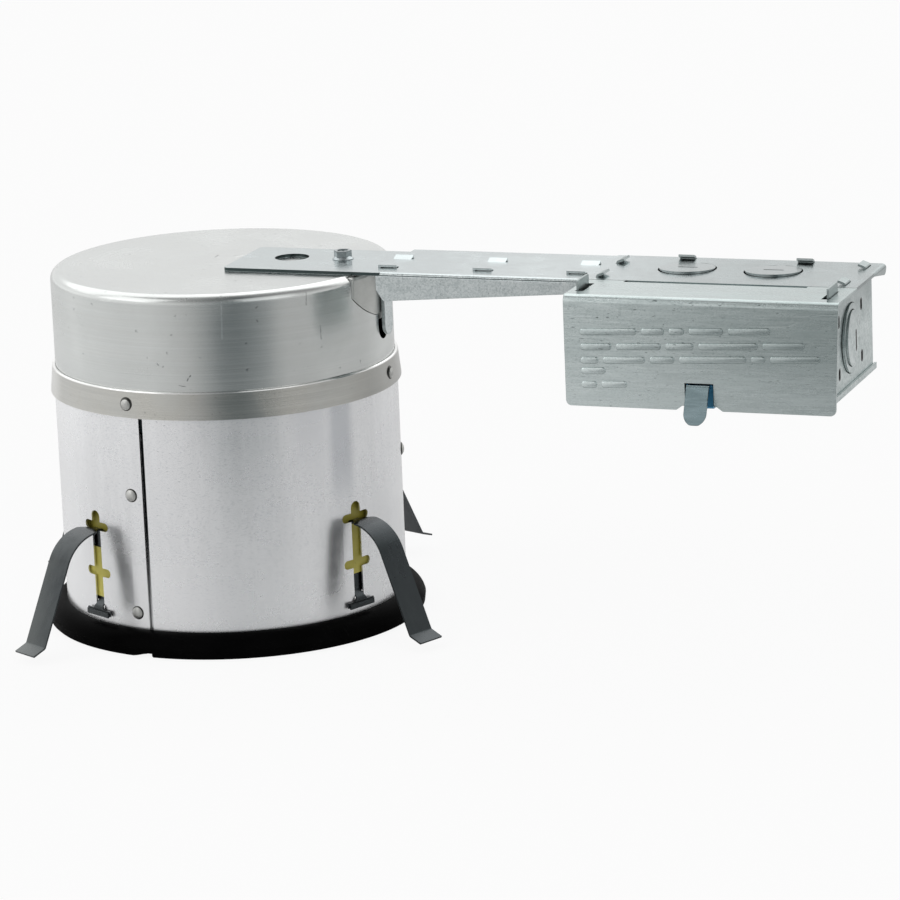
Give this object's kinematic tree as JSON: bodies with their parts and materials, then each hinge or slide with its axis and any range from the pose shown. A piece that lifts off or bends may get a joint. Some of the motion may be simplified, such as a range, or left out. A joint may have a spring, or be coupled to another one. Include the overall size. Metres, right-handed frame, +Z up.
{
  "type": "recessed light housing",
  "caption": "Round recessed light housing with a riveted can, flange ring, spring clips, a flat arm and a junction box with a hinged cover.",
  "frame": {"origin": "on the can's axis, on the underside of the flange ring", "axes": "+Z up along the can's axis, +X along the arm to the junction box, +Y away from the box cover"},
  "size_m": [0.4163, 0.2265, 0.1688],
  "materials": {
    "cap": "drawn aluminium, fine horizontal spinning lines",
    "shell": "bright satin aluminium sheet",
    "band": "brushed aluminium, a little warmer than the shell",
    "rivet": "bright aluminium",
    "ring": "black paint, semi-matt",
    "plate": "galvanised steel with fine grain and scratches",
    "box": "galvanised steel, mottled zinc",
    "clip": "blued spring steel",
    "tape": "olive yellow tape",
    "latch": "blue zinc",
    "screw": "zinc-plated steel",
    "earth_screw": "green plated steel",
    "rubber": "black rubber",
    "porcelain": "glazed porcelain",
    "brass": "rolled brass",
    "bracket": "galvanised steel",
    "limiter": "black moulded case"
  },
  "bodies": {
    "housing": {"can_cap": "cap", "body_shell": "shell", "joint_band": "band", "band_rivets": "rivet", "seam_rivets": "rivet", "bracket_rivets": "rivet", "flange_ring": "ring", "port_cover": "cap", "wire_grommet": "rubber", "arm_hook": "plate", "mounting_plate": "plate", "plate_screw": "screw", "box_shell": "box", "box_bottom": "box", "ground_screw": "earth_screw", "socket_bracket": "bracket", "heat_limiter": "limiter", "trim_bracket_right": "bracket", "trim_bracket_left": "bracket", "seal_front_left": "tape", "seal_front_right": "tape", "seal_back_right": "tape", "seal_back_left": "tape"},
    "cover": {"box_cover": "box"},
    "latch": {"cover_latch": "latch", "latch_rivet": "screw"},
    "lampholder": {"socket_carrier": "bracket", "carrier_bolt": "screw", "lamp_socket": "porcelain", "socket_screws": "screw", "screw_shell": "brass", "centre_contact": "brass"},
    "wing_nut": {"wing_nut": "screw"},
    "clip_front_left": {"clip_front_left": "clip", "tape_front_left": "tape"},
    "clip_front_right": {"clip_front_right": "clip", "tape_front_right": "tape"},
    "clip_back_right": {"clip_back_right": "clip", "tape_back_right": "tape"},
    "clip_back_left": {"clip_back_left": "clip", "tape_back_left": "tape"}
  },
  "joints": [
    {"name": "cover_hinge", "type": "hinge", "parent": "housing", "child": "cover", "pos_m": [0.24, -0.0204, 0.16435], "axis": [-1, 0, 0], "range_deg": [0, 95]},
    {"name": "latch_rock", "type": "hinge", "parent": "housing", "child": "latch", "pos_m": [0.2402, -0.0476, 0.1165], "axis": [1, 0, 0], "range_deg": [0, 6], "stiffness_Nm_per_rad": 0.02},
    {"name": "lampholder_slide", "type": "slide", "parent": "housing", "child": "lampholder", "axis": [0, 0, 1], "range_m": [-0.03, 0.008]},
    {"name": "wing_nut_turn", "type": "hinge", "parent": "lampholder", "child": "wing_nut", "pos_m": [0, 0.03, 0.138], "axis": [0, 1, 0], "range_deg": [-180, 180]},
    {"name": "clip_front_left_slide", "type": "slide", "parent": "housing", "child": "clip_front_left", "axis": [0, 0, 1], "range_m": [0, 0.005]},
    {"name": "clip_front_right_slide", "type": "slide", "parent": "housing", "child": "clip_front_right", "axis": [0, 0, 1], "range_m": [0, 0.005]},
    {"name": "clip_back_right_slide", "type": "slide", "parent": "housing", "child": "clip_back_right", "axis": [0, 0, 1], "range_m": [0, 0.005]},
    {"name": "clip_back_left_slide", "type": "slide", "parent": "housing", "child": "clip_back_left", "axis": [0, 0, 1], "range_m": [0, 0.005]}
  ]
}
